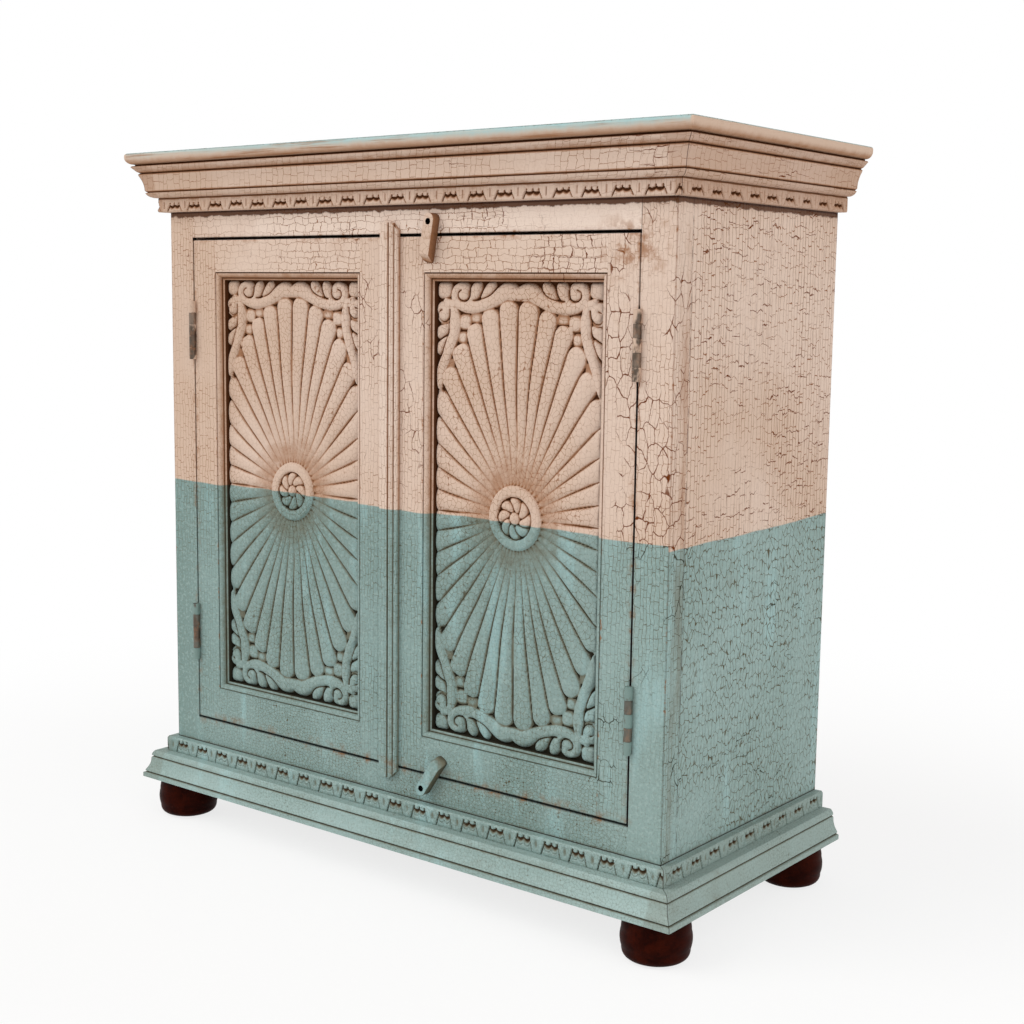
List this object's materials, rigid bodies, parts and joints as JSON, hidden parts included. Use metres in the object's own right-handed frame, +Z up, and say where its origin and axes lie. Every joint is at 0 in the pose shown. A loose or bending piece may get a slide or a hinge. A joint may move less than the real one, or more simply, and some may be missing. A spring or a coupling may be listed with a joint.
{
  "type": "two-door storage cabinet",
  "caption": "Floor-standing painted wooden cabinet with hinged carved sunburst doors, turn latches, moulded cornice and plinth, an inside shelf and turned bun feet.",
  "frame": {"origin": "on the floor, under the middle of the whole cabinet's box", "axes": "+Z up, front with the doors towards -Y, +X to the right of someone facing the doors"},
  "size_m": [0.86, 0.391, 0.88],
  "materials": {
    "paint_carving": "distressed crackle paint, pale pink above and turquoise below, brown glaze in the hollows",
    "paint_top": "distressed crackle paint, pale pink above and turquoise below, brown glaze in the hollows",
    "paint_cornice": "distressed crackle paint, pale pink above and turquoise below, brown glaze in the hollows",
    "paint_frieze": "distressed crackle paint, pale pink above and turquoise below, brown glaze in the hollows",
    "paint_base": "distressed crackle paint, pale pink above and turquoise below, brown glaze in the hollows",
    "paint_plinth": "distressed crackle paint, pale pink above and turquoise below, brown glaze in the hollows",
    "paint_side": "distressed crackle paint, pale pink above and turquoise below, brown glaze in the hollows",
    "paint_post": "distressed crackle paint, pale pink above and turquoise below, brown glaze in the hollows",
    "paint_stile": "distressed crackle paint, pale pink above and turquoise below, brown glaze in the hollows",
    "paint_rail": "distressed crackle paint, pale pink above and turquoise below, brown glaze in the hollows",
    "paint_bead": "distressed crackle paint, pale pink above and turquoise below, brown glaze in the hollows",
    "paint_latch": "distressed crackle paint, pale pink above and turquoise below, brown glaze in the hollows",
    "foot_wood": "dark reddish stain, satin",
    "hinge_steel": "aged, part painted",
    "screw_steel": "aged dark",
    "bare_wood": "bare, dry"
  },
  "bodies": {
    "case": {"back_board_1": "bare_wood", "back_board_2": "bare_wood", "back_board_3": "bare_wood", "back_post_left": "bare_wood", "back_post_right": "bare_wood", "base_trim_front": "paint_base", "base_trim_left": "paint_base", "base_trim_right": "paint_base", "bottom_rail": "paint_rail", "case_hinge_leaves": "hinge_steel", "case_hinge_screws": "screw_steel", "cornice_front": "paint_cornice", "cornice_left": "paint_cornice", "cornice_right": "paint_cornice", "floor_board": "bare_wood", "floor_cleat_left": "bare_wood", "floor_cleat_right": "bare_wood", "foot_back_left": "foot_wood", "foot_back_right": "foot_wood", "foot_front_left": "foot_wood", "foot_front_right": "foot_wood", "frieze_front": "paint_frieze", "frieze_left": "paint_frieze", "frieze_right": "paint_frieze", "front_post_left": "paint_post", "front_post_right": "paint_post", "hinge_pins": "hinge_steel", "latch_screws": "screw_steel", "plinth_back": "paint_plinth", "plinth_front": "paint_plinth", "plinth_left": "paint_plinth", "plinth_right": "paint_plinth", "shelf": "bare_wood", "shelf_cleat_left": "bare_wood", "shelf_cleat_right": "bare_wood", "side_board_left": "paint_side", "side_board_right": "paint_side", "top_board": "paint_top", "top_rail": "paint_rail"},
    "left_door": {"left_door_bead": "paint_bead", "left_door_bottom_rail": "paint_rail", "left_door_hinge_leaves": "hinge_steel", "left_door_hinge_screws": "screw_steel", "left_door_hinge_stile": "paint_stile", "left_door_meeting_stile": "paint_stile", "left_door_panel": "paint_carving", "left_door_top_rail": "paint_rail"},
    "right_door": {"right_door_bead": "paint_bead", "right_door_bottom_rail": "paint_rail", "right_door_cover_strip": "paint_stile", "right_door_hinge_leaves": "hinge_steel", "right_door_hinge_screws": "screw_steel", "right_door_hinge_stile": "paint_stile", "right_door_meeting_stile": "paint_stile", "right_door_panel": "paint_carving", "right_door_top_rail": "paint_rail"},
    "top_latch": {"top_latch": "paint_latch"},
    "bottom_latch": {"bottom_latch": "paint_latch"}
  },
  "joints": [
    {"name": "left_door_hinge", "type": "hinge", "parent": "case", "child": "left_door", "pos_m": [-0.34525, -0.1575, 0.455], "axis": [0, 0, -1], "range_deg": [0, 170]},
    {"name": "right_door_hinge", "type": "hinge", "parent": "case", "child": "right_door", "pos_m": [0.34525, -0.1575, 0.455], "axis": [0, 0, 1], "range_deg": [0, 170]},
    {"name": "top_latch_turn", "type": "hinge", "parent": "case", "child": "top_latch", "pos_m": [0.066, -0.1545, 0.786], "axis": [0, -1, 0], "range_deg": [-80, 100]},
    {"name": "bottom_latch_turn", "type": "hinge", "parent": "case", "child": "bottom_latch", "pos_m": [0.06, -0.1545, 0.1265], "axis": [0, 1, 0], "range_deg": [-80, 56]}
  ]
}
